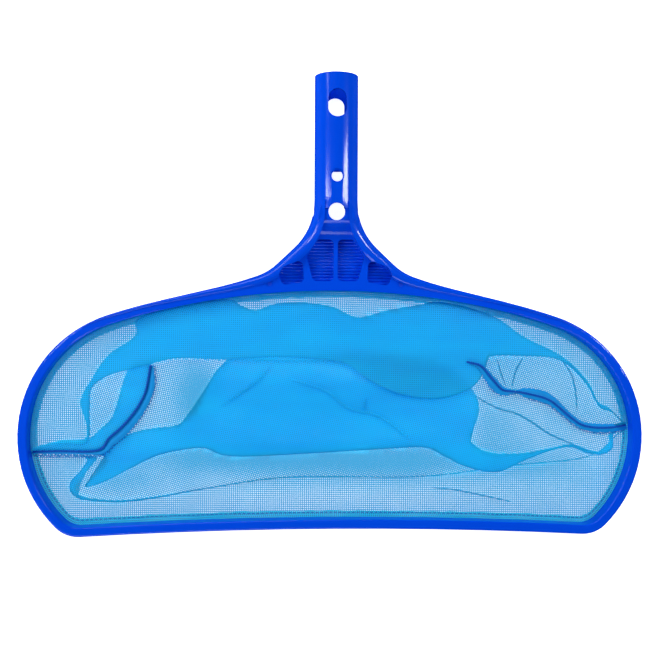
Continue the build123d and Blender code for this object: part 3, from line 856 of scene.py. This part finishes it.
def right_seam(materials):
    return seam_pieces(
        "right", smooth(RIGHT_SEAM),
        height=between([(0, 7.4), (0.2, 6.9), (0.9, 5.6), (1, 3.4)]),
        width=between([(0, 0.6), (0.1, 4.6), (0.2, 7.4), (0.27, 6.4), (0.33, 2.0), (0.38, 6.6), (0.48, 8.0),
                       (0.58, 6.0), (0.66, 4.6), (0.85, 6.0), (1, 5.0)]),
        tilt=between([(0, 16), (0.22, -6), (0.33, 60), (0.38, 8), (0.6, 10), (1, 8)]),
        offset=between([(0, 0.0), (0.2, -0.9), (0.33, 0.0), (0.42, 0.5), (0.6, 0.0), (1, -0.3)]),
        reach=between([(0, -0.4), (0.2, -5.8), (0.33, -1.4), (0.42, -4.7), (0.66, -3.4),
                       (0.85, -4.8), (1, -3.6)]),
        cord_offset=between([(0, 0.0), (0.2, 0.5), (0.34, 0.0), (0.46, -0.3), (1, 0.3)]),
        **materials)


TAPE_RIB_PITCH, TAPE_WEFT_PITCH = 0.7, 0.5


def woven_tape(name, base, deep):
    """Close-woven ribbed tape; the grooves between ribs and weft are painted darker as shade, with random
    patches.
    """
    n = Nodes(name)
    threads = n.add("ShaderNodeUVMap", uv_map="threads").outputs[0]
    place = n.add("ShaderNodeSeparateXYZ", {0: threads})
    rib = n.math("PINGPONG", n.math("DIVIDE", place.outputs["X"], TAPE_RIB_PITCH), 0.5)
    weft = n.math("PINGPONG", n.math("DIVIDE", place.outputs["Y"], TAPE_WEFT_PITCH), 0.5)
    height = n.math("ADD", rib, weft)
    patchy = n.add("ShaderNodeTexNoise", {"Vector": threads, "Scale": 0.25, "Detail": 3.0}).outputs["Fac"]
    # Painted shade: low places of the weave take the darker colour, mixed with random patches.
    groove_shade_and_patches = n.math("MULTIPLY_ADD", height, 0.5, n.math("MULTIPLY", patchy, 0.5))
    colour = mix_colour(n, groove_shade_and_patches, deep, base)
    bump = n.add("ShaderNodeBump", {"Height": height, "Strength": 0.6, "Distance": 0.0002}).outputs[0]
    shader = n.add("ShaderNodeBsdfPrincipled", {"Base Color": colour, "Roughness": 0.6,
                                               "Specular IOR Level": 0.2, "Normal": bump})
    return n.finish(shader.outputs[0])


def spun_thread(name, base, deep):
    """Fine spun fibre with a slanting twist, its grooves painted darker as shade."""
    n = Nodes(name)
    where = n.add("ShaderNodeTexCoord").outputs["Object"]
    twist = n.add("ShaderNodeTexWave", {"Vector": where, "Scale": 520.0, "Distortion": 2.0},
                  bands_direction="DIAGONAL").outputs["Fac"]
    # Painted shade: the twist's low bands take the darker colour.
    colour = mix_colour(n, twist, deep, base)
    bump = n.add("ShaderNodeBump", {"Height": twist, "Strength": 0.5, "Distance": 0.0001}).outputs[0]
    shader = n.add("ShaderNodeBsdfPrincipled", {"Base Color": colour, "Roughness": 0.5,
                                               "Specular IOR Level": 0.2, "Normal": bump})
    return n.finish(shader.outputs[0])


# ---- Stage -------------------------------------------------------------------------------
FLOOR_SIZE = 6.0
FLOOR_Z = -0.0003               # just under the net, so that the two faces don't flicker


def floor():
    bpy.ops.mesh.primitive_plane_add(size=FLOOR_SIZE, location=(0, 0, FLOOR_Z))
    obj = bpy.context.object
    obj.name = "floor"
    n = Nodes("floor_white")
    where = n.add("ShaderNodeTexCoord").outputs["Object"]
    tone = n.add("ShaderNodeTexNoise", {"Vector": where, "Scale": 3.0}).outputs["Fac"]
    colour = mix_colour(n, tone, (0.86, 0.86, 0.86), (0.88, 0.88, 0.88))
    shader = n.add("ShaderNodeBsdfPrincipled", {"Base Color": colour, "Roughness": 0.8,
                                               "Emission Color": (1, 1, 1, 1), "Emission Strength": 0.95})
    obj.data.materials.append(n.finish(shader.outputs[0]))
    obj.visible_glossy = False


def soft_light(name, place, target, size_x, size_y, power, glossy=True):
    data = bpy.data.lights.new(name, "AREA")
    data.shape = "RECTANGLE"
    data.size = size_x
    data.size_y = size_y
    data.energy = power
    obj = bpy.data.objects.new(name, data)
    obj.location = place
    obj.rotation_euler = (Vector(target) - Vector(place)).to_track_quat("-Z", "Y").to_euler()
    obj.visible_glossy = glossy
    bpy.context.scene.collection.objects.link(obj)


WORLD_STRENGTH = 0.14


def lights():
    """Soft light all round; only the long strips show as highlights on the plastic."""
    world = bpy.data.worlds.new("studio")
    bpy.context.scene.world = world
    world.use_nodes = True
    background = world.node_tree.nodes["Background"]
    background.inputs["Color"].default_value = (1, 1, 1, 1)
    background.inputs["Strength"].default_value = WORLD_STRENGTH
    world.cycles_visibility.glossy = False
    soft_light("overhead", (-0.9, 0.35, 1.3), (0, -0.02, 0), 1.2, 1.2, 3.0, glossy=False)
    soft_light("right_window", (0.74, 0.225, 0.66), (0, 0.09, 0.02), 0.12, 0.42, 3.8)
    soft_light("left_window", (-0.72, 0.195, 0.70), (0, 0.09, 0.02), 0.06, 0.42, 1.6)
    soft_light("far_softbox", (-0.6, 1.0, 0.8), (0, 0.0, 0.02), 1.6, 0.5, 9.0)
    soft_light("near_softbox", (-0.5, -1.0, 0.6), (0, -0.1, 0.02), 1.4, 0.5, 7.0)


# Above the net, a little to its left, looking down and slightly to the right.
CAMERA_PLACE = (-0.0373, -0.0161, 0.6707)
CAMERA_TILT, CAMERA_ROLL = -2.93, 0.2676
LENS, SENSOR = 51.8, 36.0


def camera():
    data = bpy.data.cameras.new("camera")
    data.lens = LENS
    data.sensor_width = SENSOR
    obj = bpy.data.objects.new("camera", data)
    tilt = Matrix.Rotation(math.radians(CAMERA_TILT), 4, "Y")
    roll = Matrix.Rotation(math.radians(CAMERA_ROLL), 4, "Z")
    obj.matrix_world = Matrix.Translation(CAMERA_PLACE) @ tilt @ roll
    bpy.context.scene.collection.objects.link(obj)
    bpy.context.scene.camera = obj


def paint(node, material):
    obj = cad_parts[node]
    obj.data.materials.clear()
    obj.data.materials.append(material)


bpy.context.scene.view_settings.view_transform = "Standard"
camera()
lights()
floor()
paint("frame", plastic("hoop_plastic", (0.0, 0.075, 0.84), (0.0, 0.064, 0.76), 0.10, 0.04))
paint("retaining_ring", plastic("ring_plastic", (0.0, 0.055, 0.62), (0.0, 0.045, 0.55), 0.35, 0.15))
paint("ring_pins", plastic("pin_plastic", (0.0, 0.055, 0.74), (0.0, 0.045, 0.66), 0.30, 0.15))
# Single-layer mesh colours, plain and with painted shade on the threads' sides, then brighter copies with
# painted light where layers lie beneath.
single_layer = ((0.0, 0.34, 0.60), (0.0, 0.25, 0.50))
backed_layer_painted_light = ((0.0, 0.70, 0.96), (0.0, 0.50, 0.88))
net_material = mesh_cloth("bag_mesh", single_layer, backed_layer_painted_light, 1.0)
hem_layers = ((0.0, 0.86, 0.99), (0.0, 0.62, 0.86))
hem_material = mesh_cloth("hem_double_mesh", hem_layers, hem_layers, 0.66)
trim = {
    "tape_material": woven_tape("seam_tape_weave", (0.0, 0.36, 0.86), (0.0, 0.20, 0.66)),
    "cord_material": spun_thread("seam_cord_fibre", (0.0, 0.12, 0.60), (0.0, 0.07, 0.42)),
    "thread_material": spun_thread("seam_thread", (0.0, 0.16, 0.62), (0.0, 0.09, 0.46)),
}
upper = upper_panel(net_material)
lower = lower_panel(net_material)
hem_piece = hem(hem_material)
add_backing([upper, lower])
hem_thread = hem_stitch_row(spun_thread("hem_thread", (0.0, 0.20, 0.55), (0.0, 0.12, 0.42)))
left_trim = left_seam(trim)
right_trim = right_seam(trim)
